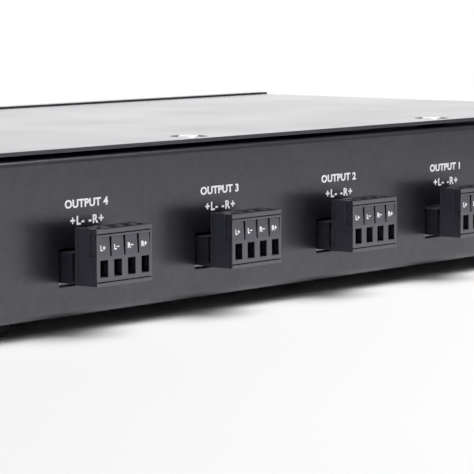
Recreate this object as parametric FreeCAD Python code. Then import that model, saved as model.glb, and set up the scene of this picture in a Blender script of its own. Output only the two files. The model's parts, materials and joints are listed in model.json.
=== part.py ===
"""Four-zone loudspeaker selector in a low sheet-metal case.

The base chassis is one folded sheet: floor, front wall, rear panel and the flanges that the cover is
screwed to. An inverted U cover closes it, and a thick fascia carries the push buttons. One circuit board
holds the push switches at the front edge, and the pluggable screw terminals and a slide switch at the rear.

Frame: +X to the right seen from the front, +Y from the front to the rear, +Z up. The origin is on the
surface that the feet stand on, under the middle of the whole selector. Sizes are millimetres.
"""

import FreeCAD
import Part
import math
import os
from string import ascii_lowercase

V = FreeCAD.Vector
X_AXIS = V(1, 0, 0)
Y_AXIS = V(0, 1, 0)
Z_AXIS = V(0, 0, 1)
DOWN = V(0, 0, -1)

# ---------------------------------------------------------------- driving sizes
# Case
body_depth = 150.0  # front wall to rear panel, over their outer faces
body_height = 42.4  # underside of the floor to the top of the cover
sheet = 1.0  # sheet-metal thickness
bend_radius = 1.6  # outside radius of a fold
cover_gap = 1.05  # air between the cover and the base it is screwed to
flange_depth = 13.0  # top flanges of the front wall and the rear panel
side_flange_height = 15.0
flange_relief = 2.5  # from an end of a side flange to the wall beside it
side_margin = 11.0  # from the slide switch to the side of the cover
over = 1.0  # how far a cutting tool runs past the face it cuts

# Fascia
fascia_thick = 5.0
fascia_side_overhang = 1.0
fascia_edge_overhang = 0.6  # above the cover and below the floor
fascia_chamfer = 0.8
fascia_hole_depth = 3.6
fascia_screw_inset = 11.6  # from the base's ends
fascia_screw_low = 12.7  # above the floor's underside
fascia_screw_drop = 8.6  # the upper ones, below the flange's face

# Feet
foot_height = 5.0
foot_radius = 7.0
foot_taper = 0.7
foot_rim_round = 0.8
foot_inset_x = 26.0  # from the case's sides
foot_inset_y = 18.0  # from the front wall and the rear panel
foot_recess_radius = 3.6
foot_recess_depth = 2.6

# Circuit board
board_thick = 0.8
board_side_gap = 3.0
board_front_gap = 5.0
board_rear_gap = 0.5
board_corner = 2.0
standoff_height = 7.0
standoff_across_flats = 5.5
standoff_inset_x = 12.0  # from the board's sides
standoff_front_inset = 20.0  # from the front wall's outer face
standoff_rear_inset = 24.0  # from the rear panel's outer face

# Screws: three-millimetre thread for the case, with a pan head
screw_radius = 1.45
screw_head_radius = 2.8
screw_head_height = 1.25
screw_head_round = 0.45
screw_slot_width = 0.6
screw_slot_half = 1.75
screw_slot_depth = 0.7
screw_tip_chamfer = 0.36
screw_play = 0.05  # round a shank in its threaded hole
screw_clearance = 0.2  # round a shank in a plain hole
cover_screw_length = 5.0
board_screw_length = 5.5
fascia_screw_length = 4.0
foot_screw_length = 5.2
rear_screw_offset = 55.7  # cover screws on the rear flange, each side of the middle
rear_screw_inset = 8.4  # from the rear panel's outer face
side_screw_height = 9.0  # above the floor's underside
side_screw_offset = 45.0  # each side of the case's middle, along its depth
dimple_radius = 5.25
dimple_floor_radius = 3.2
dimple_skirt = 0.6  # metal round the dimple's floor

# Vents in the cover's sides
vent_count = 9
vent_pitch = 8.0
vent_width = 2.4
vent_length = 16.0
vent_drop = 6.4  # upper end of the vents below the cover's top

# Terminal row
terminal_names = ["out_4", "out_3", "out_2", "out_1", "input"]  # from +X to -X
detailed_terminal = "out_3"  # its clamp screws and cages are separate nodes
terminal_spacing = 52.0
pole_count = 4
pole_pitch = 5.08

# Header: a shroud on the board, open to the rear
header_inset = 0.06  # each end, inside the row's width
header_end_wall = 0.5
header_wall = 0.9
header_back_wall = 1.2
header_height = 7.7
header_depth = 12.0
header_reach = 3.7  # past the rear panel
header_cutout_gap = 0.85  # beside and above the header, in the rear panel
header_cutout_drop = 1.1  # below the board's upper face
header_rib_length = 1.75  # small ribs on the header's ends
header_rib_height = 0.9
header_rib_proud = 0.25
header_rib_level = 4.9  # above the board
header_rib_setback = 1.0  # from the header's open end
pin_thick = 1.0
pin_reach = 6.5  # inside the shroud
pin_chamfer = 0.25
pin_tail = 1.3  # from the shroud's back to the middle of the soldered leg
pin_below_board = 1.4
pin_hole_radius = 0.78

# Plug
plug_half_margin = 0.04  # housing past its outer poles' cells, each end
plug_gap = 1.1  # between the header's open end and the housing's back
plug_body_depth = 7.56
plug_drop = 0.2  # housing's underside below the board's upper face
plug_edge_round = 0.1
nose_length = 10.8
nose_play = 0.1  # round the nose, in the shroud
face_groove_height = 0.28
face_groove_depth = 0.5
top_lip_height = 1.13  # above the upper groove
bottom_lip_height = 0.9  # below the lower groove
label_top_drop = 1.98  # top of the label fields below the housing's top
label_height = 4.97
label_recess = 0.22  # at the top of the fields; they meet the face at their foot
label_end_rim = 0.7  # beyond the outer fields
divider_depth = 2.0
divider_top_width = 0.8
divider_bottom_width = 0.5
end_strip_depth = 0.3  # recess on each end of the housing, open at the top
end_strip_width = 2.25
end_strip_setback = 0.4  # from the housing's face
end_seam_width = 0.25  # seams of each end plate
end_seam_depth = 0.2
end_seam_back = 0.6  # the one near the housing's back
end_seam_front = 1.3  # the one under the strip, from the face
end_boss_radius = 0.75
end_boss_proud = 0.25
end_boss_drop = 2.2
end_boss_setback = 1.46
entry_width = 2.9  # wire entries
entry_height = 4.25
entry_rise = 2.27  # above the housing's underside
cell_width = 4.0  # the chamber of one pole
cell_front_wall = 1.16
cell_back_wall = 0.76
cell_roof = 2.0
nose_channel_width = 2.9
nose_channel_height = 3.7

# Clamp: a cage that the screw lifts against the contact's tongue
clamp_travel = 3.0
clamp_thread_pitch = 0.5
cage_play = 0.1  # each side of the cage, in its cell
cage_end_play = 0.2  # before and behind the cage
cage_low_play = 0.27  # below the open cage
cage_high_play = 0.08  # above the closed cage
cage_wall = 0.45
cage_base = 1.0
cage_top = 1.6
cage_clear = 0.2  # over the tongue when the clamp is open
clamp_screw_radius = 1.45
clamp_head_radius = 1.8
clamp_head_height = 1.2
clamp_head_round = 0.3
clamp_head_recess = 0.2  # below the housing's top
clamp_bore_play = 0.12
clamp_slot_width = 0.6
clamp_slot_depth = 0.7
clamp_tip_gap = 0.06  # over the tongue
tongue_thick = 0.8
tongue_width = 2.4
tongue_rise = 0.1  # above the top of the wire entry
tongue_front_gap = 0.2
socket_wall = 0.5
socket_play = 0.25  # round the header's pin
socket_end_gap = 0.4  # inside the nose's end
riser_thick = 0.6
riser_gap = 0.1

# Push buttons and their switches
button_count = 4
button_spacing = 34.0
button_width = 20.0
button_height = 11.0
button_proud = 4.0
button_travel = 3.5
button_wall = 1.3
button_round = 1.2
button_play = 0.3  # round the button, in the fascia
button_skirt = 3.0  # past the front wall's outer face
wall_window_gap = 0.8  # round the button, in the front wall
plunger_thick = 3.0
plunger_level = 7.1  # above the board
plunger_play = 0.15
plunger_grip = 5.0  # inside the button's socket
socket_thick = 1.5  # walls of the button's socket
collar_width = 5.6
collar_thick = 1.0
collar_setback = 4.0  # from the front wall's outer face
spring_length = 6.5
spring_radius = 2.55
spring_wire = 0.5
spring_turns = 5
switch_width = 10.0
switch_depth = 14.0
switch_height = 14.0
plunger_rest_depth = 5.0  # inside the switch
plunger_end_gap = 0.5
switch_leg_radius = 0.4
switch_leg_columns = 2
switch_leg_rows = 3
switch_leg_pitch_x = 5.0
switch_leg_pitch_y = 4.0

# Slide switch of the impedance protection
slide_clearance = 10.94  # from the last header
slide_width = 14.0
slide_depth = 6.0
slide_height = 8.0
slide_panel_gap = 0.3
slide_level = 4.0  # lever's middle above the board
slide_travel = 4.0
slide_wall = 1.0
slide_leg_count = 3
slide_leg_pitch = 4.0
lever_width = 3.6
lever_height = 3.0
lever_reach = 3.2  # past the rear panel
lever_play = 0.2
lever_base_width = 5.6
lever_base_depth = 2.6
lever_groove_width = 0.4
lever_groove_depth = 0.35

# Power resistors
resistor_count = 2
resistor_spacing = 130.0
resistor_length = 48.0
resistor_thick = 9.5
resistor_edge = 0.8
resistor_shift = 8.0  # from the case's middle towards the rear
lead_radius = 0.4
lead_run = 3.0
lead_bend = 1.5
leg_below_board = 1.5
leg_hole_play = 0.1

# ---------------------------------------------------------------- places worked out from them
row_width = pole_pitch * pole_count
plug_half = row_width / 2 + plug_half_margin
header_half = row_width / 2 - header_inset
nose_half = header_half - header_end_wall - nose_play
last_terminal = (len(terminal_names) - 1) / 2 * terminal_spacing  # its distance from the middle
slide_offset = last_terminal + header_half + slide_clearance + slide_width / 2
cover_half = slide_offset + slide_width / 2 + side_margin
base_half = cover_half - sheet - cover_gap
inner_bend = max(bend_radius - sheet, sheet / 10)

plug_reach = header_reach + plug_gap + plug_body_depth
total_depth = button_proud + fascia_thick + body_depth + plug_reach
y_button = -total_depth / 2
y_fascia = y_button + button_proud
y_front = y_fascia + fascia_thick  # front wall's outer face
y_rear = y_front + body_depth  # rear panel's outer face
y_middle = (y_front + y_rear) / 2

z_floor = foot_height  # floor's underside
z_cover = z_floor + body_height  # cover's top
z_flange = z_cover - sheet - cover_gap  # base's highest face
z_board = z_floor + sheet + standoff_height + board_thick  # board's upper face

y_header_back = y_rear + header_reach - header_depth
y_header_open = y_rear + header_reach
y_pin_leg = y_header_back - pin_tail
y_plug_face = y_rear + plug_reach
y_plug_back = y_plug_face - plug_body_depth
y_nose_end = y_plug_back - nose_length
z_pin = z_board + header_height / 2
z_plug = z_board - plug_drop
z_entry = z_plug + entry_rise  # also the upper face of the open cage's base
z_entry_top = z_entry + entry_height
z_tongue = z_entry_top + tongue_rise
z_tongue_top = z_tongue + tongue_thick
z_cage_roof = z_tongue_top + cage_clear
z_cell = z_entry - cage_base - cage_low_play
z_cell_top = z_cage_roof + cage_top + clamp_travel + cage_high_play
z_plug_top = z_cell_top + cell_roof
z_label_top = z_plug_top - label_top_drop
z_label = z_label_top - label_height
z_clamp_head_top = z_plug_top - clamp_head_recess
z_clamp_head = z_clamp_head_top - clamp_head_height

y_cell_front = y_plug_face - cell_front_wall
y_cell_back = y_plug_back + cell_back_wall
y_riser = y_cell_back + riser_gap
y_cage_back = y_riser + riser_thick + cage_end_play
y_cage_front = y_cell_front - cage_end_play
y_clamp = (y_cage_back + y_cage_front) / 2

z_plunger = z_board + plunger_level
y_collar = y_front + collar_setback
y_switch = y_collar + collar_thick + spring_length
y_slide_face = y_rear - sheet - slide_panel_gap
y_slide_leg = y_slide_face - slide_depth / 2
z_slide = z_board + slide_level
y_resistor = y_middle + resistor_shift
board_half = base_half - sheet - board_side_gap
y_board_front = y_front + board_front_gap
y_board_rear = y_rear - sheet - board_rear_gap


# ---------------------------------------------------------------- small helpers
def block(x0, x1, y0, y1, z0, z1):
    """A box between two values on each axis."""
    return Part.makeBox(x1 - x0, y1 - y0, z1 - z0, V(x0, y0, z0))


def centred_block(x, half, y0, y1, z0, z1):
    """A box that reaches half each side of x."""
    return block(x - half, x + half, y0, y1, z0, z1)


def edges_along(shape, axis):
    """The straight edges of a shape that run along an axis."""
    return [
        edge
        for edge in shape.Edges
        if isinstance(edge.Curve, Part.Line) and abs(abs(edge.Curve.Direction.dot(axis)) - 1) < 1e-6
    ]


def edges_at(shape, axis, level):
    """The edges of a shape that lie wholly at one level along an axis."""
    found = []
    for edge in shape.Edges:
        if all(abs(vertex.Point.dot(axis) - level) < 1e-6 for vertex in edge.Vertexes):
            found.append(edge)
    return found


def terminal_x(index):
    """The middle of a terminal, counted from +X."""
    return ((len(terminal_names) - 1) / 2 - index) * terminal_spacing


def pole_xs(x):
    """The middles of the poles of the terminal at x, from +X to -X."""
    return [x + ((pole_count - 1) / 2 - k) * pole_pitch for k in range(pole_count)]


def button_xs():
    """The middles of the push buttons, from -X to +X."""
    return [(k - (button_count - 1) / 2) * button_spacing for k in range(button_count)]


def leg_hole(x, y, radius):
    """A cutter through the board."""
    return Part.makeCylinder(radius, board_thick + 2 * over, V(x, y, z_board - board_thick - over))


def board_leg(x, y, z_top):
    """A round leg from a component down through the board."""
    foot = z_board - board_thick - leg_below_board
    return Part.makeCylinder(switch_leg_radius, z_top - foot, V(x, y, foot))


def turned(shape, seat, direction):
    """Moves a shape made along -Z at the origin to a seat, pointing along a direction."""
    shape.Placement = FreeCAD.Placement(seat, FreeCAD.Rotation(DOWN, direction))
    return shape


def pan_screw(seat, direction, length):
    """A cross-slotted pan-head screw, its head on the seat and its shank along the direction."""
    head = Part.makeCylinder(screw_head_radius, screw_head_height)
    head = head.makeFillet(screw_head_round, edges_at(head, Z_AXIS, screw_head_height))
    shank = Part.makeCylinder(screw_radius, length, V(0, 0, 0), DOWN)
    shank = shank.makeChamfer(screw_tip_chamfer, edges_at(shank, Z_AXIS, -length))
    slot_floor = screw_head_height - screw_slot_depth
    slot_side = screw_slot_width / 2
    slots = [
        centred_block(0, half_x, -half_y, half_y, slot_floor, screw_head_height + over)
        for half_x, half_y in ((screw_slot_half, slot_side), (slot_side, screw_slot_half))
    ]
    return turned(head.fuse(shank).cut(slots).removeSplitter(), seat, direction)


# ---------------------------------------------------------------- places of fasteners
def rear_cover_seats():
    """Where the screws on the rear flange enter the cover's upper face."""
    y = y_rear - rear_screw_inset
    return [(V(side * rear_screw_offset, y, z_cover), DOWN) for side in (-1, 1)]


def side_cover_seats():
    """Where the side screws enter the cover's side faces."""
    z = z_floor + side_screw_height
    return [
        (V(side * cover_half, y_middle + along * side_screw_offset, z), V(-side, 0, 0))
        for side in (-1, 1)
        for along in (-1, 1)
    ]


def cover_seats():
    return rear_cover_seats() + side_cover_seats()


def foot_places():
    """The middles of the feet, on the floor's underside."""
    x = cover_half - foot_inset_x
    return [
        V(sx * x, y, z_floor)
        for sx in (-1, 1)
        for y in (y_front + foot_inset_y, y_rear - foot_inset_y)
    ]


def standoff_places():
    """The middles of the standoffs, on the floor's upper face."""
    x = board_half - standoff_inset_x
    return [
        V(px, py, z_floor + sheet)
        for px in (-x, 0, x)
        for py in (y_front + standoff_front_inset, y_rear - standoff_rear_inset)
    ]


def fascia_screw_places():
    """The middles of the fascia screws, on the front wall's inner face."""
    x = base_half - fascia_screw_inset
    low = z_floor + fascia_screw_low
    high = z_flange - fascia_screw_drop
    return [V(side * x, y_front + sheet, z) for side in (-1, 1) for z in (low, high)]


def resistor_xs():
    return [(k - (resistor_count - 1) / 2) * resistor_spacing for k in range(resistor_count)]


def switch_leg_places():
    """Where the legs of the push switches and of the slide switch pass through the board."""
    columns = [(k - (switch_leg_columns - 1) / 2) * switch_leg_pitch_x for k in range(switch_leg_columns)]
    rows = [(k - (switch_leg_rows - 1) / 2) * switch_leg_pitch_y for k in range(switch_leg_rows)]
    y = y_switch + switch_depth / 2
    places = [(x + dx, y + dy) for x in button_xs() for dx in columns for dy in rows]
    for k in range(slide_leg_count):
        shift = (k - (slide_leg_count - 1) / 2) * slide_leg_pitch
        places.append((shift - slide_offset, y_slide_leg))
    return places


def lead_xs():
    """Where the resistors' leads pass through the board."""
    reach = resistor_length / 2 + lead_run + lead_bend
    return [x + side * reach for x in resistor_xs() for side in (-1, 1)]


# ---------------------------------------------------------------- case
def base_chassis():
    """Floor, front wall and rear panel folded from one sheet, with flanges for the cover."""
    outer = centred_block(0, base_half, y_front, y_rear, z_floor, z_flange)
    outer = outer.makeFillet(bend_radius, edges_along(outer, X_AXIS))
    past = base_half + over
    inner = centred_block(0, past, y_front + sheet, y_rear - sheet, z_floor + sheet, z_flange - sheet)
    inner = inner.makeFillet(inner_bend, edges_along(inner, X_AXIS))
    under = z_flange - 2 * sheet
    mouth = centred_block(0, past, y_front + flange_depth, y_rear - flange_depth, under, z_cover)
    tray = outer.cut([inner, mouth])
    y0 = y_front + sheet + flange_relief
    y1 = y_rear - sheet - flange_relief
    middle = base_half - sheet / 2
    sides = [
        centred_block(side * middle, sheet / 2, y0, y1, z_floor, z_floor + side_flange_height)
        for side in (-1, 1)
    ]
    tray = tray.multiFuse(sides)
    return tray.cut(panel_cuts() + wall_cuts() + chassis_screw_holes()).removeSplitter()


def panel_cuts():
    """The openings of the rear panel: one round each header, and the slide switch's slot."""
    y0 = y_rear - sheet - over
    y1 = y_rear + over
    gap = header_cutout_gap
    low = z_board - header_cutout_drop
    high = z_board + header_height + gap
    cuts = [
        centred_block(terminal_x(k), header_half + gap, y0, y1, low, high)
        for k in range(len(terminal_names))
    ]
    half = (slide_travel + lever_width) / 2 + lever_play
    rise = lever_height / 2 + lever_play
    cuts.append(centred_block(-slide_offset, half, y0, y1, z_slide - rise, z_slide + rise))
    return cuts


def wall_cuts():
    """The windows of the front wall, one round each button."""
    half = button_width / 2 + wall_window_gap
    rise = button_height / 2 + wall_window_gap
    return [
        centred_block(x, half, y_front - over, y_front + sheet + over, z_plunger - rise, z_plunger + rise)
        for x in button_xs()
    ]


def chassis_screw_holes():
    """Threaded holes for the cover and the feet, and plain ones for the fascia's screws."""
    threaded = screw_radius + screw_play
    depth = cover_gap + 2 * sheet + over
    holes = [Part.makeCylinder(threaded, depth, seat, direction) for seat, direction in cover_seats()]
    for place in foot_places():
        holes.append(Part.makeCylinder(threaded, sheet + 2 * over, place - Z_AXIS * over))
    plain = screw_radius + screw_clearance
    for place in fascia_screw_places():
        start = place - Y_AXIS * (sheet + over)
        holes.append(Part.makeCylinder(plain, sheet + 2 * over, start, Y_AXIS))
    return holes


def vent_slot(side, y):
    """A round-ended upright slot through one side of the cover."""
    high = z_cover - vent_drop - vent_width / 2
    low = high - vent_length + vent_width
    run = sheet + 2 * over
    x0 = side * (cover_half - sheet / 2) - run / 2
    slot = block(x0, x0 + run, y - vent_width / 2, y + vent_width / 2, low, high)
    ends = [Part.makeCylinder(vent_width / 2, run, V(x0, y, z), X_AXIS) for z in (low, high)]
    return slot.multiFuse(ends).removeSplitter()


def top_cover():
    """The inverted U over the base, dimpled at its screws and slotted in its sides."""
    outer = centred_block(0, cover_half, y_front, y_rear, z_floor, z_cover)
    top_edges = [e for e in edges_along(outer, Y_AXIS) if e.CenterOfMass.z > z_flange]
    outer = outer.makeFillet(bend_radius, top_edges)
    inside = cover_half - sheet
    inner = centred_block(0, inside, y_front - over, y_rear + over, z_floor - over, z_cover - sheet)
    top_edges = [e for e in edges_along(inner, Y_AXIS) if e.CenterOfMass.z > z_flange]
    inner = inner.makeFillet(inner_bend, top_edges)
    shell = outer.cut(inner)

    skirt = dimple_floor_radius + dimple_skirt
    bosses = [
        Part.makeCone(dimple_radius, skirt, cover_gap, seat + direction * sheet, direction)
        for seat, direction in cover_seats()
    ]
    shell = shell.multiFuse(bosses)
    cuts = []
    for seat, direction in cover_seats():
        cuts.append(Part.makeCone(dimple_radius, dimple_floor_radius, cover_gap, seat, direction))
        hole = sheet + cover_gap + over
        cuts.append(Part.makeCylinder(screw_radius + screw_clearance, hole, seat, direction))
    for side in (-1, 1):
        for k in range(vent_count):
            cuts.append(vent_slot(side, y_middle + (k - (vent_count - 1) / 2) * vent_pitch))
    return shell.cut(cuts).removeSplitter()


def front_fascia():
    """The thick front plate, chamfered round its face, with a window for each button."""
    half = cover_half + fascia_side_overhang
    z0 = z_floor - fascia_edge_overhang
    z1 = z_cover + fascia_edge_overhang
    plate = centred_block(0, half, y_fascia, y_front, z0, z1)
    plate = plate.makeChamfer(fascia_chamfer, edges_at(plate, Y_AXIS, y_fascia))
    window = button_width / 2 + button_play
    rise = button_height / 2 + button_play
    cuts = [
        centred_block(x, window, y_fascia - over, y_front + over, z_plunger - rise, z_plunger + rise)
        for x in button_xs()
    ]
    for place in fascia_screw_places():
        mouth = V(place.x, y_front, place.z)
        cuts.append(Part.makeCylinder(screw_radius + screw_play, fascia_hole_depth, mouth, -Y_AXIS))
    return plate.cut(cuts).removeSplitter()


def cover_screws():
    return [
        pan_screw(seat + direction * cover_gap, direction, cover_screw_length)
        for seat, direction in cover_seats()
    ]


def fascia_screws():
    return [pan_screw(place, -Y_AXIS, fascia_screw_length) for place in fascia_screw_places()]


def rubber_foot(place):
    """A tapered foot with a recess for its screw, under the floor."""
    under = V(place.x, place.y, 0)
    foot = Part.makeCone(foot_radius - foot_taper, foot_radius, foot_height, under)
    foot = foot.makeFillet(foot_rim_round, edges_at(foot, Z_AXIS, 0))
    recess = Part.makeCylinder(foot_recess_radius, foot_recess_depth, under)
    hole = Part.makeCylinder(screw_radius + screw_clearance, foot_height, under)
    return foot.cut([recess, hole])


def foot_screw(place):
    return pan_screw(V(place.x, place.y, foot_recess_depth), Z_AXIS, foot_screw_length)


# ---------------------------------------------------------------- board
def circuit_board():
    board = centred_block(0, board_half, y_board_front, y_board_rear, z_board - board_thick, z_board)
    board = board.makeFillet(board_corner, edges_along(board, Z_AXIS))
    holes = [leg_hole(place.x, place.y, screw_radius + screw_clearance) for place in standoff_places()]
    for index in range(len(terminal_names)):
        holes += [leg_hole(x, y_pin_leg, pin_hole_radius) for x in pole_xs(terminal_x(index))]
    holes += [leg_hole(x, y_resistor, lead_radius + leg_hole_play) for x in lead_xs()]
    holes += [leg_hole(x, y, switch_leg_radius + leg_hole_play) for x, y in switch_leg_places()]
    return board.cut(holes)


def standoff(place):
    """A threaded hexagonal spacer between the floor and the board."""
    across_corners = standoff_across_flats / math.cos(math.pi / 6)
    corners = [
        place + V(math.cos(k * math.pi / 3), math.sin(k * math.pi / 3), 0) * (across_corners / 2)
        for k in range(7)
    ]
    prism = Part.Face(Part.makePolygon(corners)).extrude(Z_AXIS * standoff_height)
    return prism.cut(Part.makeCylinder(screw_radius + screw_play, standoff_height, place))


def board_screw(place):
    return pan_screw(V(place.x, place.y, z_board), DOWN, board_screw_length)


def resistor_body(x):
    """A ceramic block that lies on the board."""
    half = resistor_thick / 2
    top = z_board + resistor_thick
    body = centred_block(x, resistor_length / 2, y_resistor - half, y_resistor + half, z_board, top)
    return body.makeChamfer(resistor_edge, edges_along(body, X_AXIS))


def resistor_lead(x, side):
    """One wire: out of the resistor's end, round a bend and down through the board."""
    start = V(x + side * resistor_length / 2, y_resistor, z_board + resistor_thick / 2)
    out = V(side, 0, 0)
    turn = start + out * lead_run
    centre = turn - Z_AXIS * lead_bend
    middle = centre + (out + Z_AXIS) * (lead_bend * math.sqrt(0.5))
    end = centre + out * lead_bend
    foot = V(end.x, end.y, z_board - board_thick - leg_below_board)
    bend = Part.Arc(turn, middle, end).toShape()
    path = Part.Wire([Part.makeLine(start, turn), bend, Part.makeLine(end, foot)])
    ring = Part.Wire([Part.makeCircle(lead_radius, start, out)])
    return path.makePipeShell([ring], True, False)


def switch_legs():
    """The legs under the push switches and the slide switch."""
    return [board_leg(x, y, z_board) for x, y in switch_leg_places()]


# ---------------------------------------------------------------- terminals
def header(x):
    """A shroud on the board, open to the rear, with a square hole in its back for each pin."""
    top = z_board + header_height
    shell = centred_block(x, header_half, y_header_back, y_header_open, z_board, top)
    cavity = centred_block(
        x,
        header_half - header_end_wall,
        y_header_back + header_back_wall,
        y_header_open + over,
        z_board + header_wall,
        top - header_wall,
    )
    half = pin_thick / 2
    holes = [
        centred_block(px, half, y_header_back - over, y_header_open, z_pin - half, z_pin + half)
        for px in pole_xs(x)
    ]
    y1 = y_header_open - header_rib_setback
    z0 = z_board + header_rib_level - header_rib_height / 2
    rib_half = header_half + header_rib_proud
    ribs = centred_block(x, rib_half, y1 - header_rib_length, y1, z0, z0 + header_rib_height)
    return shell.fuse(ribs).cut([cavity] + holes).removeSplitter()


def header_pin(x):
    """A square pin: along the header, then down through the board."""
    half = pin_thick / 2
    y_tip = y_header_back + header_back_wall + pin_reach
    along = centred_block(x, half, y_pin_leg - half, y_tip, z_pin - half, z_pin + half)
    along = along.makeChamfer(pin_chamfer, edges_at(along, Y_AXIS, y_tip))
    foot = z_board - board_thick - pin_below_board
    leg = centred_block(x, half, y_pin_leg - half, y_pin_leg + half, foot, z_pin - half)
    return along.fuse(leg).removeSplitter()


def divider_groove(x):
    """The wedge-shaped groove between two label fields, wider at its top."""
    y = y_plug_face + over
    low = divider_bottom_width / 2
    high = divider_top_width / 2
    corners = [(-low, z_label), (low, z_label), (high, z_label_top), (-high, z_label_top), (-low, z_label)]
    outline = Part.makePolygon([V(x + dx, y, z) for dx, z in corners])
    return Part.Face(outline).extrude(-Y_AXIS * (over + divider_depth))


def label_fields(x):
    """The band of label fields: flush with the face at its foot, sunk at its top."""
    half = plug_half - label_end_rim
    sunk = y_plug_face - label_recess
    front = y_plug_face + over
    corners = [(y_plug_face, z_label), (front, z_label), (front, z_label_top), (sunk, z_label_top)]
    outline = Part.makePolygon([V(x - half, y, z) for y, z in corners + corners[:1]])
    return Part.Face(outline).extrude(X_AXIS * (2 * half))


def plug_face_cuts(x):
    """The grooves and the label fields across the face."""
    half = plug_half + over
    front = y_plug_face + over
    lower = z_plug + bottom_lip_height
    upper = z_plug_top - top_lip_height - face_groove_height
    cuts = [
        centred_block(x, half, y_plug_face - face_groove_depth, front, z, z + face_groove_height)
        for z in (lower, upper)
    ]
    cuts.append(label_fields(x))
    poles = pole_xs(x)
    cuts += [divider_groove((left + right) / 2) for left, right in zip(poles, poles[1:])]
    return cuts


def plug_end_cuts(x, side):
    """The recessed strip round its small boss and the end plate's two seams, on one end."""
    depth = end_strip_depth / 2
    y1 = y_plug_face - end_strip_setback
    centre = x + side * (plug_half - depth)
    strip = centred_block(centre, depth, y1 - end_strip_width, y1, z_label, z_plug_top + over)
    seat = V(
        x + side * (plug_half - end_strip_depth), y_plug_face - end_boss_setback, z_plug_top - end_boss_drop
    )
    boss = Part.makeCylinder(end_boss_radius, end_boss_proud, seat, V(side, 0, 0))
    seam_half = end_seam_depth / 2
    centre = x + side * (plug_half - seam_half)
    seams = [
        centred_block(centre, seam_half, y0, y0 + end_seam_width, z_plug - over, high)
        for y0, high in (
            (y_plug_back + end_seam_back, z_plug_top + over),
            (y_plug_face - end_seam_front, z_label),
        )
    ]
    return [strip.cut(boss)] + seams


def plug_pole_cuts(x):
    """The chamber of one pole with its wire entry, its screw's hole and the way to the nose."""
    front = y_plug_face + over
    way = nose_channel_width / 2
    channel = nose_channel_height / 2
    bore = clamp_screw_radius + clamp_bore_play
    recess = clamp_head_radius + clamp_bore_play
    return [
        centred_block(x, cell_width / 2, y_cell_back, y_cell_front, z_cell, z_cell_top),
        centred_block(x, entry_width / 2, y_clamp, front, z_entry, z_entry_top),
        centred_block(x, way, y_nose_end - over, y_clamp, z_pin - channel, z_pin + channel),
        Part.makeCylinder(bore, z_plug_top - z_cell_top + over, V(x, y_clamp, z_cell_top - over)),
        Part.makeCylinder(recess, z_plug_top - z_clamp_head + over, V(x, y_clamp, z_clamp_head)),
    ]


def plug_housing(x):
    """The tall block with the wire entries, and the nose that enters the header."""
    body = centred_block(x, plug_half, y_plug_back, y_plug_face, z_plug, z_plug_top)
    body = body.makeFillet(plug_edge_round, edges_along(body, Z_AXIS) + edges_along(body, X_AXIS))
    z0 = z_board + header_wall + nose_play
    z1 = z_board + header_height - header_wall - nose_play
    nose = centred_block(x, nose_half, y_nose_end, y_plug_back + cell_back_wall, z0, z1)
    cuts = plug_face_cuts(x) + plug_end_cuts(x, -1) + plug_end_cuts(x, 1)
    for px in pole_xs(x):
        cuts += plug_pole_cuts(px)
    return body.fuse(nose).cut(cuts).removeSplitter()


def contact(x):
    """The socket for a header pin, with the tongue that the clamp presses the wire against."""
    inner = pin_thick / 2 + socket_play
    outer = inner + socket_wall
    y0 = y_nose_end + socket_end_gap
    y1 = y_riser + riser_thick
    socket = centred_block(x, outer, y0, y1, z_pin - outer, z_pin + outer)
    bore = centred_block(x, inner, y0 - over, y_riser, z_pin - inner, z_pin + inner)
    half = tongue_width / 2
    riser = centred_block(x, half, y_riser, y1, z_pin, z_tongue_top)
    tongue = centred_block(x, half, y_riser, y_cell_front - tongue_front_gap, z_tongue, z_tongue_top)
    return socket.multiFuse([riser, tongue]).cut(bore).removeSplitter()


def clamp_cage(x):
    """The open cage round the tongue and the wire, with a threaded top."""
    half = cell_width / 2 - cage_play
    top = z_cage_roof + cage_top
    cage = centred_block(x, half, y_cage_back, y_cage_front, z_entry - cage_base, top)
    inside = half - cage_wall
    window = centred_block(x, inside, y_cage_back - over, y_cage_front + over, z_entry, z_cage_roof)
    threaded = clamp_screw_radius + screw_play
    thread = Part.makeCylinder(threaded, cage_top + 2 * over, V(x, y_clamp, z_cage_roof - over))
    return cage.cut([window, thread])


def clamp_screw(x):
    """The slotted screw that lifts the cage: its head rests in the housing, its tip over the tongue."""
    tip = z_tongue_top + clamp_tip_gap
    head = Part.makeCylinder(clamp_head_radius, clamp_head_height, V(x, y_clamp, z_clamp_head))
    head = head.makeFillet(clamp_head_round, edges_at(head, Z_AXIS, z_clamp_head_top))
    shank = Part.makeCylinder(clamp_screw_radius, z_clamp_head - tip, V(x, y_clamp, tip))
    y0 = y_clamp - clamp_slot_width / 2
    y1 = y0 + clamp_slot_width
    slot = centred_block(x, clamp_head_radius, y0, y1, z_clamp_head_top - clamp_slot_depth, z_plug_top)
    return head.fuse(shank).cut(slot).removeSplitter()


# ---------------------------------------------------------------- push buttons
def push_button(x):
    """A hollow cap with a square socket for the switch's plunger."""
    half = button_width / 2
    rise = button_height / 2
    y_rim = y_front + button_skirt
    cap = centred_block(x, half, y_button, y_rim, z_plunger - rise, z_plunger + rise)
    cap = cap.makeFillet(button_round, edges_at(cap, Y_AXIS, y_button) + edges_along(cap, Y_AXIS))
    low = z_plunger - rise + button_wall
    high = z_plunger + rise - button_wall
    y_inside = y_button + button_wall
    hollow = centred_block(x, half - button_wall, y_inside, y_rim + over, low, high)
    inner = plunger_thick / 2 + plunger_play
    outer = inner + socket_thick
    y_end = y_collar - plunger_play
    y_root = y_inside - button_wall / 2
    socket = centred_block(x, outer, y_root, y_end, z_plunger - outer, z_plunger + outer)
    bore = centred_block(x, inner, y_end - plunger_grip, y_end + over, z_plunger - inner, z_plunger + inner)
    return cap.cut(hollow).fuse(socket).cut(bore).removeSplitter()


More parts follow.
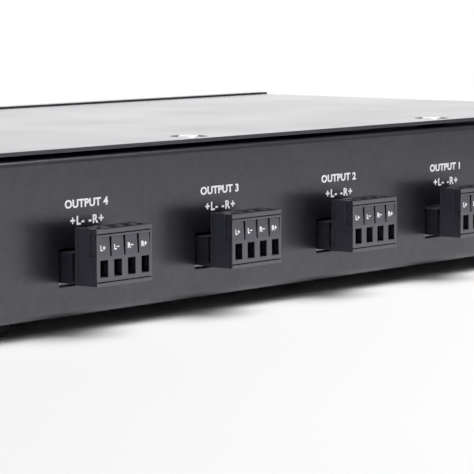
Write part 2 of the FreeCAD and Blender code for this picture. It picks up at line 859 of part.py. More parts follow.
def switch_plunger(x):
    """The square bar that the button sits on, with the collar that the spring pushes."""
    half = plunger_thick / 2
    y_tip = y_collar - plunger_play - plunger_grip
    bar = centred_block(x, half, y_tip, y_switch + plunger_rest_depth, z_plunger - half, z_plunger + half)
    rim = collar_width / 2
    collar = centred_block(x, rim, y_collar, y_collar + collar_thick, z_plunger - rim, z_plunger + rim)
    return bar.fuse(collar).removeSplitter()


def button_spring(x):
    """The coil between the collar and the switch, round the plunger."""
    run = spring_length - spring_wire
    pitch = run / spring_turns
    helix = Part.makeLongHelix(pitch, run, spring_radius)
    rise = V(0, 2 * math.pi * spring_radius, pitch)
    ring = Part.Wire([Part.makeCircle(spring_wire / 2, V(spring_radius, 0, 0), rise)])
    coil = Part.Wire(helix.Edges).makePipeShell([ring], True, True)
    start = V(x, y_collar + collar_thick + spring_wire / 2, z_plunger)
    coil.Placement = FreeCAD.Placement(start, FreeCAD.Rotation(Z_AXIS, Y_AXIS))
    return coil


def push_switch(x):
    """The switch block on the board, with the way for its plunger."""
    y_back = y_switch + switch_depth
    body = centred_block(x, switch_width / 2, y_switch, y_back, z_board, z_board + switch_height)
    half = plunger_thick / 2 + plunger_play
    depth = plunger_rest_depth + button_travel + plunger_end_gap
    way = centred_block(x, half, y_switch - over, y_switch + depth, z_plunger - half, z_plunger + half)
    return body.cut(way)


# ---------------------------------------------------------------- slide switch
def protection_switch():
    """The block on the board behind the rear panel, hollow for the lever's base."""
    x = -slide_offset
    y0 = y_slide_face - slide_depth
    body = centred_block(x, slide_width / 2, y0, y_slide_face, z_board, z_board + slide_height)
    rise = lever_height / 2 + lever_play
    low = z_slide - rise
    high = z_slide + rise
    y_inside = y_slide_face - slide_wall
    y_pocket = y_inside - lever_base_depth - 2 * lever_play
    pocket_half = (slide_travel + lever_base_width) / 2 + lever_play
    slot_half = (slide_travel + lever_width) / 2 + lever_play
    pocket = centred_block(x, pocket_half, y_pocket, y_inside, low, high)
    slot = centred_block(x, slot_half, y_pocket, y_slide_face + over, low, high)
    return body.cut([pocket, slot])


def protection_lever():
    """The lever at the -X end of its travel, with grip grooves across its tip."""
    x = -slide_offset - slide_travel / 2
    low = z_slide - lever_height / 2
    high = z_slide + lever_height / 2
    y1 = y_slide_face - slide_wall - lever_play
    y0 = y1 - lever_base_depth
    y_tip = y_rear + lever_reach
    base = centred_block(x, lever_base_width / 2, y0, y1, low, high)
    stem = centred_block(x, lever_width / 2, y0, y_tip, low, high)
    groove = lever_groove_width / 2
    y_groove = y_tip - lever_groove_depth
    grooves = [
        centred_block(x + shift * lever_width / 3, groove, y_groove, y_tip + over, low - over, high + over)
        for shift in (-1, 0, 1)
    ]
    return base.fuse(stem).cut(grooves).removeSplitter()


# ---------------------------------------------------------------- the parts
def every_node():
    """Each node's name with its solids."""
    nodes = {
        "base_chassis": [base_chassis()],
        "top_cover": [top_cover()],
        "front_fascia": [front_fascia()],
        "cover_screws": cover_screws(),
        "fascia_screws": fascia_screws(),
        "rubber_feet": [rubber_foot(place) for place in foot_places()],
        "foot_screws": [foot_screw(place) for place in foot_places()],
        "circuit_board": [circuit_board()],
        "board_standoffs": [standoff(place) for place in standoff_places()],
        "board_screws": [board_screw(place) for place in standoff_places()],
        "power_resistors": [resistor_body(x) for x in resistor_xs()],
        "resistor_leads": [resistor_lead(x, side) for x in resistor_xs() for side in (-1, 1)],
        "push_switches": [push_switch(x) for x in button_xs()],
        "switch_legs": switch_legs(),
        "protection_switch": [protection_switch()],
        "protection_lever": [protection_lever()],
    }
    pins = []
    for index, name in enumerate(terminal_names):
        x = terminal_x(index)
        poles = pole_xs(x)
        nodes["header_" + name] = [header(x)]
        nodes["plug_" + name] = [plug_housing(x)]
        nodes["contacts_" + name] = [contact(px) for px in poles]
        pins += [header_pin(px) for px in poles]
        cages = [clamp_cage(px) for px in poles]
        screws = [clamp_screw(px) for px in poles]
        if name == detailed_terminal:
            for letter, cage, screw in zip(ascii_lowercase, cages, screws):
                nodes["clamp_cage_" + name + letter] = [cage]
                nodes["clamp_screw_" + name + letter] = [screw]
        else:
            nodes["clamp_cages_" + name] = cages
            nodes["clamp_screws_" + name] = screws
    nodes["header_pins"] = pins
    for number, x in enumerate(button_xs(), start=1):
        nodes[f"button_{number}"] = [push_button(x)]
        nodes[f"switch_plunger_{number}"] = [switch_plunger(x)]
        nodes[f"button_spring_{number}"] = [button_spring(x)]
    return nodes


def main():
    os.makedirs("parts", exist_ok=True)
    nodes = every_node()
    for name, solids in nodes.items():
        shape = solids[0] if len(solids) == 1 else Part.makeCompound(solids)
        shape.exportStep(os.path.join("parts", name + ".step"))
        sound = shape.isValid() and len(shape.Solids) == len(solids)
        if not sound:
            print("check", name, "valid", shape.isValid(), "solids", len(shape.Solids))
    print(len(nodes), "nodes")


if __name__ == "__main__":
    main()
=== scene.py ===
"""Looks of the four-zone loudspeaker selector: finishes, legends, light, floor and camera."""

import json
import math

import bpy
import bmesh
from mathutils import Matrix, Vector

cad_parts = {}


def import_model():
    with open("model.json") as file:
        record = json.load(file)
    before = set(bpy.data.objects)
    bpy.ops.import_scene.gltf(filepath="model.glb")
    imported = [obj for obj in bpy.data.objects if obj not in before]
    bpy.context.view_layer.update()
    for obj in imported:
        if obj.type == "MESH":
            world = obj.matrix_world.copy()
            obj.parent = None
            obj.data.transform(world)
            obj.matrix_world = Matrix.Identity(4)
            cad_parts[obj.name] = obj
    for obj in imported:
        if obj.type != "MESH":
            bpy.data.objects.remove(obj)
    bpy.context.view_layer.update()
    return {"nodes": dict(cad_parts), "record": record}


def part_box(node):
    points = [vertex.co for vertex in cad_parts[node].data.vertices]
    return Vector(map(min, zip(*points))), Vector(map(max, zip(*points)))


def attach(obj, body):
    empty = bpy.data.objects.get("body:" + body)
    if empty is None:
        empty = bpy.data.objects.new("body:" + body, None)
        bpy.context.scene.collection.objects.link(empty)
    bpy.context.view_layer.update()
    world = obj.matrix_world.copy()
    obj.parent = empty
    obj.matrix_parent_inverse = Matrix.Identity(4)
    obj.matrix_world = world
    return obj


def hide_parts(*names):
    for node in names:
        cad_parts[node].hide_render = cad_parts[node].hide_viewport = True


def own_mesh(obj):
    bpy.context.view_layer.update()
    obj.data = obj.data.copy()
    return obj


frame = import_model()

MM = 0.001
NODES = frame["nodes"]


def add_object(name, data):
    """A new object in the scene, made of a mesh, curve, lamp or camera."""
    made = bpy.data.objects.new(name, data)
    bpy.context.scene.collection.objects.link(made)
    return made


# ---------------------------------------------------------------- node materials
NOISE_RANGE = (0.3, 0.7)  # where most of a noise's values lie
BEVEL_SAMPLES = 6
SKY_SAMPLES = 12
BLUE = 0.3  # how far the black coats lean to blue


def grey(value, blue=0.0):
    """A near-neutral colour that leans a little to blue."""
    return (value * (1 - blue / 2), value * (1 - blue / 2), value * (1 + blue))


class Finish:
    """One node material, built up step by step round a Principled shader."""

    def __init__(self, name, roughness, metallic=0.0, ior=1.5):
        self.material = bpy.data.materials.new(name)
        self.material.use_nodes = True
        self.tree = self.material.node_tree
        self.tree.nodes.clear()
        self.surface = self.add("ShaderNodeBsdfPrincipled")
        self.surface.inputs["Roughness"].default_value = roughness
        self.surface.inputs["Metallic"].default_value = metallic
        self.surface.inputs["IOR"].default_value = ior
        out = self.add("ShaderNodeOutputMaterial")
        self.join(self.surface.outputs["BSDF"], out.inputs["Surface"])
        self.place = self.add("ShaderNodeTexCoord").outputs["Object"]

    def add(self, kind):
        """A new shader node of a kind."""
        return self.tree.nodes.new(kind)

    def join(self, start, end):
        """Links an output socket to an input socket."""
        self.tree.links.new(start, end)

    def noise(self, size_mm, detail=2.0, stretch=(1, 1, 1)):
        """Cloudy noise whose blotches are about size_mm across, from 0 to 1."""
        place = self.add("ShaderNodeMapping")
        place.inputs["Scale"].default_value = stretch
        self.join(self.place, place.inputs["Vector"])
        noise = self.add("ShaderNodeTexNoise")
        noise.inputs["Scale"].default_value = 1 / (size_mm * MM)
        noise.inputs["Detail"].default_value = detail
        self.join(place.outputs["Vector"], noise.inputs["Vector"])
        return noise.outputs["Fac"]

    def spread(self, value, low, high, to_low=0.0, to_high=1.0):
        """Maps low..high of a value to another range, clamped."""
        ramp = self.add("ShaderNodeMapRange")
        for name, number in (("From Min", low), ("From Max", high), ("To Min", to_low), ("To Max", to_high)):
            ramp.inputs[name].default_value = number
        self.join(value, ramp.inputs["Value"])
        return ramp.outputs["Result"]

    def even(self, noise, to_low=0.0, to_high=1.0):
        """Maps the range that a noise mostly covers to another, clamped."""
        return self.spread(noise, *NOISE_RANGE, to_low, to_high)

    def sums(self, operation, first, second):
        """One arithmetic step on two values, each a socket or a number."""
        node = self.add("ShaderNodeMath")
        node.operation = operation
        for socket, value in zip(node.inputs, (first, second)):
            if isinstance(value, (int, float)):
                socket.default_value = value
            else:
                self.join(value, socket)
        return node.outputs["Value"]

    def blend(self, share, first, second):
        """Mixes two colours, or a colour output and a colour, by a share."""
        mix = self.add("ShaderNodeMix")
        mix.data_type = "RGBA"
        self.join(share, mix.inputs["Factor"])
        for socket, colour in ((mix.inputs["A"], first), (mix.inputs["B"], second)):
            if isinstance(colour, tuple):
                socket.default_value = (*colour, 1)
            else:
                self.join(colour, socket)
        return mix.outputs["Result"]

    def rounded(self, radius_mm):
        """The normal with every edge eased over a radius."""
        bevel = self.add("ShaderNodeBevel")
        bevel.samples = BEVEL_SAMPLES
        bevel.inputs["Radius"].default_value = radius_mm * MM
        return bevel.outputs["Normal"]

    def edges(self, eased):
        """1 on the eased edges and 0 on the faces."""
        flat = self.add("ShaderNodeNewGeometry").outputs["Normal"]
        dot = self.add("ShaderNodeVectorMath")
        dot.operation = "DOT_PRODUCT"
        self.join(eased, dot.inputs[0])
        self.join(flat, dot.inputs[1])
        return self.spread(dot.outputs["Value"], 0.995, 0.86)

    def rise(self):
        """The upward part of a face's direction."""
        normal = self.add("ShaderNodeNewGeometry").outputs["Normal"]
        split = self.add("ShaderNodeSeparateXYZ")
        self.join(normal, split.inputs["Vector"])
        return split.outputs["Z"]

    def sideways(self):
        """1 on upright faces and 0 on level ones."""
        return self.spread(self.sums("ABSOLUTE", self.rise(), 0), 0.7, 0.3)

    def upward(self):
        """1 on faces that look up."""
        return self.spread(self.rise(), 0.6, 0.9)

    def open_sky(self, reach_mm):
        """1 on open faces, falling to 0 in deep corners and holes; the mask of the painted shade there."""
        hemisphere = self.add("ShaderNodeAmbientOcclusion")
        hemisphere.samples = SKY_SAMPLES
        hemisphere.inputs["Distance"].default_value = reach_mm * MM
        return self.spread(hemisphere.outputs["AO"], 0.3, 0.85)

    def bump(self, height, depth_mm, strength=1.0, normal=None):
        """The normal of a relief of some depth, laid over another normal where one is given."""
        bump = self.add("ShaderNodeBump")
        bump.inputs["Strength"].default_value = strength
        bump.inputs["Distance"].default_value = depth_mm * MM
        self.join(height, bump.inputs["Height"])
        if normal is not None:
            self.join(normal, bump.inputs["Normal"])
        return bump.outputs["Normal"]

    def finish(self, colour, roughness, normal):
        """Joins the last sockets to the shader and gives the material."""
        self.join(colour, self.surface.inputs["Base Color"])
        self.join(roughness, self.surface.inputs["Roughness"])
        self.join(normal, self.surface.inputs["Normal"])
        return self.material


COAT_IOR = 1.96
COAT_TINT = (0.9, 0.885, 1, 1)  # what the coat mirrors leans to violet


def powder_coat(name, tone, roughness, grain_mm=0.55, dust=0.25):
    """Fine-textured powder coat: orange peel, faint mottling, rubbed edges and a little dust on top."""
    f = Finish(name, roughness, ior=COAT_IOR)
    f.surface.inputs["Specular Tint"].default_value = COAT_TINT
    eased = f.rounded(0.25)
    grain = f.noise(grain_mm, 3.0)
    cloud = f.noise(38, 3.0)
    colour = f.blend(f.even(grain), grey(tone * 0.86, BLUE), grey(tone * 1.14, BLUE))
    colour = f.blend(f.spread(cloud, 0.35, 0.7, 0, 0.3), colour, grey(tone * 1.2, BLUE))
    specks = f.spread(f.noise(2.1, 6.0), 0.62, 0.78, 0, dust)
    colour = f.blend(f.sums("MULTIPLY", specks, f.upward()), colour, grey(0.25))
    rubbed = f.sums("MULTIPLY", f.edges(eased), f.spread(f.noise(3.0, 4.0), 0.35, 0.7))
    colour = f.blend(f.sums("MULTIPLY", rubbed, 0.4), colour, grey(tone * 2.4, BLUE))
    mottle = f.even(f.noise(2.4, 4.0), 0.465, 0.535)
    f.join(mottle, f.surface.inputs["Specular IOR Level"])
    rough = f.even(cloud, roughness - 0.015, roughness + 0.02)
    peel = f.bump(grain, 0.012, 0.6, eased)
    return f.finish(colour, rough, peel)


HOLE_SHADE = (0.002, 0.002, 0.003)  # painted shade in the plugs' holes, grooves and deep corners
TOP_FACE_SHADE = (0.008, 0.008, 0.009)  # painted shade: the plugs' top faces painted darker and duller


def moulded(name, tone, roughness, blue=0.08, grain_mm=0.28, worn=1.8, ior=1.5, painted_shade=False):
    """Matt moulded plastic: spark-eroded grain, faint flow marks and shinier, paler edges.

    With painted shade, it is painted near-black and less shiny in its holes and deep corners, and painted
    darker and less shiny on the faces that look up.
    """
    f = Finish(name, roughness, ior=ior)
    eased = f.rounded(0.12)
    grain = f.noise(grain_mm, 4.0)
    flow = f.noise(6, 3.0, stretch=(0.35, 1, 1))
    colour = f.blend(f.even(grain), grey(tone * 0.9, blue), grey(tone * 1.1, blue))
    colour = f.blend(f.spread(flow, 0.4, 0.75, 0, 0.35), colour, grey(tone * 1.25, blue))
    edges = f.edges(eased)
    colour = f.blend(f.sums("MULTIPLY", edges, 0.55), colour, grey(tone * worn, blue))
    if painted_shade:
        # painted shade: near-black colour and less shine where the surroundings close in, in holes, grooves
        # and corners
        open_to_light = f.open_sky(3)
        colour = f.blend(open_to_light, HOLE_SHADE, colour)
        # painted shade: the faces that look up painted darker and less shiny
        top_shade_share = f.upward()
        colour = f.blend(top_shade_share, colour, TOP_FACE_SHADE)
        shine = f.spread(top_shade_share, 0, 1, 0.5, 0.12)
        f.join(f.sums("MULTIPLY", open_to_light, shine), f.surface.inputs["Specular IOR Level"])
    gloss = f.sums("MULTIPLY", edges, 0.12)
    rough = f.sums("SUBTRACT", f.even(flow, roughness - 0.04, roughness + 0.06), gloss)
    return f.finish(colour, rough, f.bump(grain, 0.012, 0.8, eased))


def plated(name, colour, roughness, brushed=(1, 1, 1), painted_shade=False):
    """Bright plated metal with fine drawing marks and duller patches; one with painted shade is painted
    near-black in deep corners.
    """
    f = Finish(name, roughness, metallic=1.0)
    eased = f.rounded(0.08)
    marks = f.noise(0.35, 4.0, stretch=brushed)
    patches = f.noise(1.6, 4.0)
    dark = tuple(c * 0.72 for c in colour)
    tone = f.blend(f.spread(patches, 0.35, 0.75, 0, 0.8), colour, dark)
    tone = f.blend(f.sums("MULTIPLY", f.edges(eased), 0.5), tone, tuple(min(1.0, c * 1.15) for c in colour))
    if painted_shade:
        # painted shade: near-black in deep corners and holes
        tone = f.blend(f.open_sky(4), (0.03, 0.03, 0.03), tone)
    rough = f.even(patches, roughness - 0.06, roughness + 0.12)
    return f.finish(tone, rough, f.bump(marks, 0.006, 0.7, eased))


def rubber():
    """Matt black rubber with a bloom."""
    f = Finish("foot_rubber", 0.75)
    eased = f.rounded(0.2)
    grain = f.noise(0.5, 5.0)
    bloom = f.spread(f.noise(4, 5.0), 0.45, 0.75, 0, 0.6)
    colour = f.blend(bloom, grey(0.016), grey(0.04))
    return f.finish(colour, f.even(grain, 0.66, 0.86), f.bump(grain, 0.03, 0.8, eased))


# Square meshes of 2 mm, as a brick pattern without offset.
HATCH = {"Scale": 250, "Mortar Size": 0.09, "Mortar Smooth": 0.2, "Brick Width": 0.5, "Row Height": 0.5}


def circuit_board():
    """Green solder mask over a hatched copper plane that shows as a faint relief, and pale cut edges."""
    f = Finish("solder_mask", 0.35)
    hatch = f.add("ShaderNodeTexBrick")
    hatch.offset = 0
    for name, number in HATCH.items():
        hatch.inputs[name].default_value = number
    turn = f.add("ShaderNodeMapping")
    turn.inputs["Rotation"].default_value = (0, 0, math.radians(45))
    f.join(f.place, turn.inputs["Vector"])
    f.join(turn.outputs["Vector"], hatch.inputs["Vector"])
    weave = f.noise(0.6, 3.0)
    colour = f.blend(hatch.outputs["Fac"], (0.012, 0.075, 0.03), (0.018, 0.11, 0.045))
    colour = f.blend(f.even(weave, 0, 0.4), colour, (0.015, 0.09, 0.04))
    edge = f.blend(f.even(weave), (0.9, 0.9, 0.91), (0.78, 0.78, 0.78))
    colour = f.blend(f.sideways(), colour, edge)
    rough = f.even(weave, 0.28, 0.42)
    return f.finish(colour, rough, f.bump(hatch.outputs["Fac"], 0.035))


def ceramic():
    """White ceramic with a cement fill, porous and a little stained."""
    f = Finish("resistor_ceramic", 0.7)
    pores = f.noise(0.5, 6.0)
    stain = f.noise(7, 4.0)
    colour = f.blend(f.spread(stain, 0.4, 0.75), (0.66, 0.64, 0.58), (0.5, 0.47, 0.4))
    return f.finish(colour, f.even(pores, 0.6, 0.85), f.bump(pores, 0.06, 0.9, f.rounded(0.3)))


def legend_ink():
    """Screen-printed white ink: thin, slightly uneven and a touch duller where it is worn."""
    f = Finish("legend_ink", 0.5, ior=1.3)
    wear = f.noise(0.3, 5.0)
    colour = f.blend(f.spread(wear, 0.56, 0.8), (0.97, 0.97, 0.98), (0.82, 0.82, 0.84))
    return f.finish(colour, f.even(wear, 0.42, 0.62), f.bump(wear, 0.01))


FINISHES = {
    "case_paint": lambda: powder_coat("case_powder_coat", 0.004, 0.3),
    "fascia_paint": lambda: powder_coat("fascia_powder_coat", 0.004, 0.34, grain_mm=0.42),
    "bright_screws": lambda: plated("bright_zinc", (0.8, 0.8, 0.79), 0.26),
    "rubber": rubber,
    "board": circuit_board,
    "standoff_metal": lambda: plated("plated_brass", (0.72, 0.62, 0.4), 0.3, brushed=(1, 1, 0.1)),
    "resistor_ceramic": ceramic,
    "lead_wire": lambda: plated("tinned_wire", (0.75, 0.75, 0.74), 0.3),
    "switch_plastic": lambda: moulded("switch_plastic", 0.03, 0.5),
    "plunger_plastic": lambda: moulded("lever_plastic", 0.6, 0.42, blue=0.01, worn=1.1),
    "spring_steel": lambda: plated("spring_steel", (0.6, 0.6, 0.6), 0.28, brushed=(0.2, 1, 0.2)),
    "button_plastic": lambda: moulded("button_plastic", 0.045, 0.4),
    "header_plastic": lambda: moulded("header_plastic", 0.015, 0.48, blue=0.4),
    "plug_plastic": lambda: moulded("plug_plastic", 0.02, 0.31, blue=0.5, worn=1.2, ior=2.15, painted_shade=True),
    "pin_metal": lambda: plated("tin_plate", (0.82, 0.81, 0.78), 0.3),
    "contact_metal": lambda: plated("tinned_brass", (0.42, 0.4, 0.36), 0.4),
    "clamp_metal": lambda: plated("clamp_zinc", (0.4, 0.4, 0.41), 0.4, painted_shade=True),
    "clamp_screw_metal": lambda: plated("clamp_screw_zinc", (0.82, 0.81, 0.8), 0.24),
}


def dress_nodes():
    """Gives every CAD node the finish of its slot."""
    made = {slot: make() for slot, make in FINISHES.items()}
    for part in frame["record"]["subparts"]:
        node = NODES[part["node"]]
        node.data.materials.clear()
        node.data.materials.append(made[part["material_slot"]])


def button_springs():
    """A copy of each button spring's mesh, attached to the case in place of its hidden CAD node."""
    for joint in frame["record"]["behaviour"]["joints"]:
        for rule in joint.get("deforming_nodes", ()):
            node = rule["node"]
            coil = add_object(f"{node}_coil", NODES[node].data.copy())
            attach(coil, "case")
            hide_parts(node)
            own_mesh(coil)


# ---------------------------------------------------------------- legends
REAR_WAY = Matrix(((-1, 0, 0), (0, 0, 1), (0, 1, 0))).transposed().to_4x4()
FRONT_WAY = Matrix(((1, 0, 0), (0, 0, 1), (0, -1, 0))).transposed().to_4x4()
CAPITAL_SHARE = 0.729  # capitals' height as a share of the font's size
OUTLINE_STEPS = 6  # outlines finer than this cross themselves where they are thickened
INK_THICK = 0.03 * MM

# Each style: base line over the panel's foot and height of the capitals in mm, stretch, spacing, and the
# weight added to the strokes in mm.
HEADING = (27.4, 2.05, 1.15, 1.05, 0.1)
POLARITY = (23.05, 2.2, 1.08, 1.2, 0.11)
SWITCH_TITLE = (17.4, 1.6, 1.0, 1.1, 0.07)
SWITCH_ENDS = (6.9, 1.6, 1.0, 1.1, 0.07)
HEADING_ASIDE, POLARITY_ASIDE = 0.7 * MM, 0.57 * MM  # from the plug's middle

TERMINALS = {"out_4": "OUTPUT 4", "out_3": "OUTPUT 3", "out_2": "OUTPUT 2", "out_1": "OUTPUT 1",
             "input": "INPUT"}
PANEL_LOW, PANEL_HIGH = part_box("base_chassis")

POLES = ("L+", "L\u2212", "R\u2212", "R+")
POLE_PITCH = 5.08 * MM
POLE_ASIDE = 0.35 * MM  # from the pole's middle
POLE_STYLE = (1.38 * MM, 0.96, 1.0, 0.07 * MM)
FIELD_FOOT = 6.95 * MM  # from the plug's top down to the label fields' foot
FIELD_LEAN = math.atan2(0.22, 4.97)  # the fields go in by 0.22 mm over their height of 4.97 mm
MARK_RISE = 1.6 * MM  # from the fields' foot up to the marks' base line

NUMERAL_STYLE = (3.4 * MM, 0.95, 1.0, 0.08 * MM)
NUMERAL_RISE = 3.2 * MM  # from a button's top up to its numeral's base line


def words_mesh(words, height, stretch, spacing, weight):
    """A mesh of some words, centred on the origin in its own XY plane, with capitals of a height."""
    curve = bpy.data.curves.new("words", "FONT")
    curve.body = words
    curve.space_character = spacing
    curve.align_x = "CENTER"
    curve.size = height / CAPITAL_SHARE
    curve.extrude = INK_THICK / 2
    curve.offset = weight
    curve.resolution_u = OUTLINE_STEPS
    holder = add_object("words", curve)
    bpy.context.view_layer.update()
    mesh = bpy.data.meshes.new_from_object(holder)
    bpy.data.objects.remove(holder)
    mesh.transform(Matrix.Diagonal((stretch, 1, 1, 1)))
    return mesh


def lettering(name, body, lines, way, ink):
    """One piece from lines of words: (words, base-line centre, height, stretch, spacing, weight)."""
    joined = bmesh.new()
    for words, at, height, stretch, spacing, weight in lines:
        mesh = words_mesh(words, height, stretch, spacing, weight)
        mesh.transform(Matrix.Translation(at) @ way)
        joined.from_mesh(mesh)
        bpy.data.meshes.remove(mesh)
    mesh = bpy.data.meshes.new(name)
    joined.to_mesh(mesh)
    joined.free()
    mesh.materials.append(ink)
    piece = add_object(name, mesh)
    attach(piece, body)


def middle(node):
    """The middle of a node's box."""
    low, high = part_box(node)
    return (low + high) / 2


def rear_legends(ink):
    """Headings and polarity marks on the rear panel."""
    lines = []

    def line(words, x, style):
        up, height, stretch, spacing, weight = style
        at = Vector((x, PANEL_HIGH.y + INK_THICK / 2, PANEL_LOW.z + up * MM))
        lines.append((words, at, height * MM, stretch, spacing, weight * MM))

    for name, heading in TERMINALS.items():
        x = middle(f"plug_{name}").x
        line(heading, x + HEADING_ASIDE, HEADING)
        line("+L- -R+", x + POLARITY_ASIDE, POLARITY)
    x = middle("protection_switch").x
    line("PROTECT", x, SWITCH_TITLE)
    line("OFF  ON", x, SWITCH_ENDS)
    lettering("rear_legends", "case", lines, REAR_WAY, ink)


def plug_legends(name, ink):
    """The mark of each pole, in its leaning label field."""
    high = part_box(f"plug_{name}")[1]
    base = high.z - FIELD_FOOT + MARK_RISE
    y = high.y - MARK_RISE * math.tan(FIELD_LEAN) + INK_THICK / 2
    first = middle(f"plug_{name}").x + (len(POLES) - 1) / 2 * POLE_PITCH + POLE_ASIDE
    lines = [(words, Vector((first - k * POLE_PITCH, y, base)), *POLE_STYLE) for k, words in enumerate(POLES)]
    way = Matrix.Rotation(FIELD_LEAN, 4, "X") @ REAR_WAY
    lettering(f"plug_legend_{name}", f"plug_{name}", lines, way, ink)


def front_legends(ink):
    """A numeral over each button."""
    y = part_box("front_fascia")[0].y - INK_THICK / 2
    lines = []
    for number in range(1, 5):
        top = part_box(f"button_{number}")[1].z
        at = Vector((middle(f"button_{number}").x, y, top + NUMERAL_RISE))
        lines.append((str(number), at, *NUMERAL_STYLE))
    lettering("front_numerals", "case", lines, FRONT_WAY, ink)


# ---------------------------------------------------------------- stage
SEEN_RAYS = ("Is Camera Ray", "Is Glossy Ray", "Is Transmission Ray")  # these see the stage as plain white

TABLE_REACH = 6.0
TABLE_SEEN, TABLE_LIT = (1.0, 1.0, 1.0), (0.85, 0.85, 0.85)  # to the seen rays, and to all others
MELT_FROM, MELT_TO = 0.3, 0.75  # between these reaches the table turns into the tent's plain white

FLAG_AT, FLAG_TOWARDS = (-0.385, 0.39, 0), (0.0, 0.073)
FLAG_WIDTH, FLAG_HEIGHT = 1.0, 0.6
# brightness of the card's painted glow, darkest and lightest
FLAG_DARK, FLAG_LIGHT = 0.21, 0.25

# Each softbox: name, place, the point it faces, width, height, and its face's brightness, where 1 is white.
SOFTBOXES = (
    ("key", (-0.3, 1.2, 1.1), (0.0, 0.05, 0.02), 1.2, 0.9, 3.45),
    ("top", (-0.4, 0.8, 1.5), (0.0, 0.1, 0), 2.0, 1.4, 2.95),
    ("low_back", (-0.98, -0.82, 0.17), (0, 0, 0.045), 1.8, 0.34, 1.2),
)
TENT_SEEN, TENT_FILL = (1, 1, 1, 1), (0.07, 0.07, 0.073, 1)  # to the seen rays, and to all others


def light_path_share(add, join):
    """1 for the seen rays and 0 for all others."""
    path = add("ShaderNodeLightPath").outputs
    share = path[SEEN_RAYS[0]]
    for name in SEEN_RAYS[1:]:
        most = add("ShaderNodeMath")
        most.operation = "MAXIMUM"
        join(share, most.inputs[0])
        join(path[name], most.inputs[1])
        share = most.outputs["Value"]
    return share


def stage_sheet(name, corners, material, at=(0, 0, 0), turn=0.0):
    """A flat piece of the stage from its four corners, stood at a place and turned about the vertical."""
    mesh = bpy.data.meshes.new(name)
    mesh.from_pydata(corners, [], [(0, 1, 2, 3)])
    mesh.materials.append(material)
    sheet = add_object(name, mesh)
    sheet.location = at
    sheet.rotation_euler.z = turn
    return sheet


def table():
    """A white table: it takes the part's shadow nearby and melts into the white tent further out."""
    f = Finish("table_white", 0.9)
    seen = light_path_share(f.add, f.join)
    distance = f.add("ShaderNodeVectorMath")
    distance.operation = "LENGTH"
    f.join(f.place, distance.inputs[0])
    far = f.sums("MULTIPLY", f.spread(distance.outputs["Value"], MELT_FROM, MELT_TO), seen)
    near = f.blend(seen, TABLE_LIT, TABLE_SEEN)
    f.join(f.blend(far, near, (0, 0, 0)), f.surface.inputs["Base Color"])
    f.surface.inputs["Specular IOR Level"].default_value = 0
    f.join(f.blend(far, (0, 0, 0), (1, 1, 1)), f.surface.inputs["Emission Color"])
    f.surface.inputs["Emission Strength"].default_value = 1
    reach = TABLE_REACH
    corners = [(-reach, -reach, 0), (reach, -reach, 0), (reach, reach, 0), (-reach, reach, 0)]
    stage_sheet("table", corners, f.material)


def flag():
    """A dim grey card across from the camera that glows by itself, where the rear panel mirrors it: a painted
    reflection, as only shiny faces see it.
    """
    f = Finish("flag_glow_card", 0.9)
    card_glow = f.blend(f.even(f.noise(1.5, 4.0)), grey(FLAG_DARK), grey(FLAG_LIGHT))
    f.join(card_glow, f.surface.inputs["Emission Color"])
    f.surface.inputs["Emission Strength"].default_value = 1
    f.surface.inputs["Base Color"].default_value = (0, 0, 0, 1)
    f.surface.inputs["Specular IOR Level"].default_value = 0
    half = FLAG_WIDTH / 2
    corners = [(-half, 0, 0), (half, 0, 0), (half, 0, FLAG_HEIGHT), (-half, 0, FLAG_HEIGHT)]
    turn = math.atan2(FLAG_AT[0] - FLAG_TOWARDS[0], FLAG_TOWARDS[1] - FLAG_AT[1])
    card = stage_sheet("flag", corners, f.material, FLAG_AT, turn)
    card.visible_camera = False
    card.visible_diffuse = False
    card.visible_shadow = False


def lights():
    """Softboxes as rectangular area lamps that face their points square-on."""
    for name, at, towards, width, height, level in SOFTBOXES:
        lamp = bpy.data.lights.new(name, "AREA")
        lamp.shape = "RECTANGLE"
        lamp.size = width
        lamp.size_y = height
        lamp.energy = level * math.pi * width * height
        holder = add_object(name, lamp)
        holder.location = at
        holder.rotation_euler = (Vector(towards) - Vector(at)).to_track_quat("-Z", "Y").to_euler()
        holder.visible_camera = False


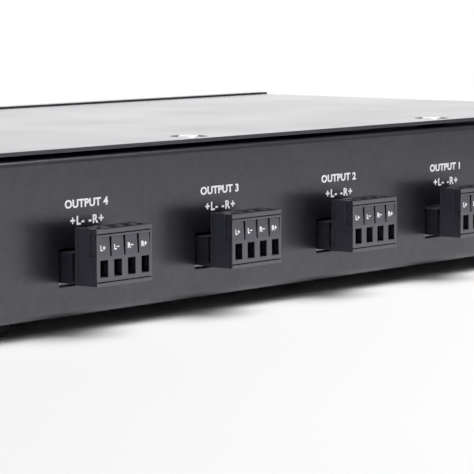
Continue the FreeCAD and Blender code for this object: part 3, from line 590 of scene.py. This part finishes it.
def world():
    """A white tent: plain white to the camera, to glossy and to transmission rays, low as fill."""
    sky = bpy.data.worlds.new("studio")
    bpy.context.scene.world = sky
    sky.use_nodes = True
    tree = sky.node_tree
    tree.nodes.clear()
    mix = tree.nodes.new("ShaderNodeMix")
    mix.data_type = "RGBA"
    mix.inputs["A"].default_value = TENT_FILL
    mix.inputs["B"].default_value = TENT_SEEN
    tree.links.new(light_path_share(tree.nodes.new, tree.links.new), mix.inputs["Factor"])
    glow = tree.nodes.new("ShaderNodeBackground")
    tree.links.new(mix.outputs["Result"], glow.inputs["Color"])
    out = tree.nodes.new("ShaderNodeOutputWorld")
    tree.links.new(glow.outputs["Background"], out.inputs["Surface"])


# ---------------------------------------------------------------- camera
SENSOR = 36.0
FOCAL_PIXELS = 2597.56
FRAME_PIXELS = 474
HALF_PIXEL = 0.5 / FRAME_PIXELS  # the frame's middle lies half a pixel right of and below its centre
YAW, PITCH, ROLL = (math.radians(a) for a in (50.1236, 5.7654, -0.1298))
# The camera's place beside output 3: across the panel, up from its lower edge and out from its face.
CAMERA_ACROSS, CAMERA_UP, CAMERA_OUT = 528.74 * MM, 85.25 * MM, 447.27 * MM


def camera():
    """The photo's camera, from the fit of the panel's edges and of output 3's plug."""
    lens = bpy.data.cameras.new("camera")
    lens.sensor_width = SENSOR
    lens.lens = FOCAL_PIXELS / FRAME_PIXELS * SENSOR
    lens.shift_x = -HALF_PIXEL
    lens.shift_y = HALF_PIXEL
    forward = Vector((-math.sin(YAW) * math.cos(PITCH), -math.cos(YAW) * math.cos(PITCH), -math.sin(PITCH)))
    level = Vector((-math.cos(YAW), math.sin(YAW), 0))
    up = level.cross(forward)
    right = math.cos(ROLL) * level + math.sin(ROLL) * up
    up = -math.sin(ROLL) * level + math.cos(ROLL) * up
    turn = Matrix((right, up, -forward)).transposed().to_4x4()
    x = middle("plug_out_3").x + CAMERA_ACROSS
    at = Vector((x, PANEL_HIGH.y + CAMERA_OUT, PANEL_LOW.z + CAMERA_UP))
    holder = add_object("camera", lens)
    holder.matrix_world = Matrix.Translation(at) @ turn
    bpy.context.scene.camera = holder


# ---------------------------------------------------------------- the scene
dress_nodes()
button_springs()
white_ink = legend_ink()
rear_legends(white_ink)
front_legends(white_ink)
for terminal in TERMINALS:
    plug_legends(terminal, white_ink)
table()
flag()
lights()
world()
camera()
bpy.context.scene.view_settings.view_transform = "Standard"
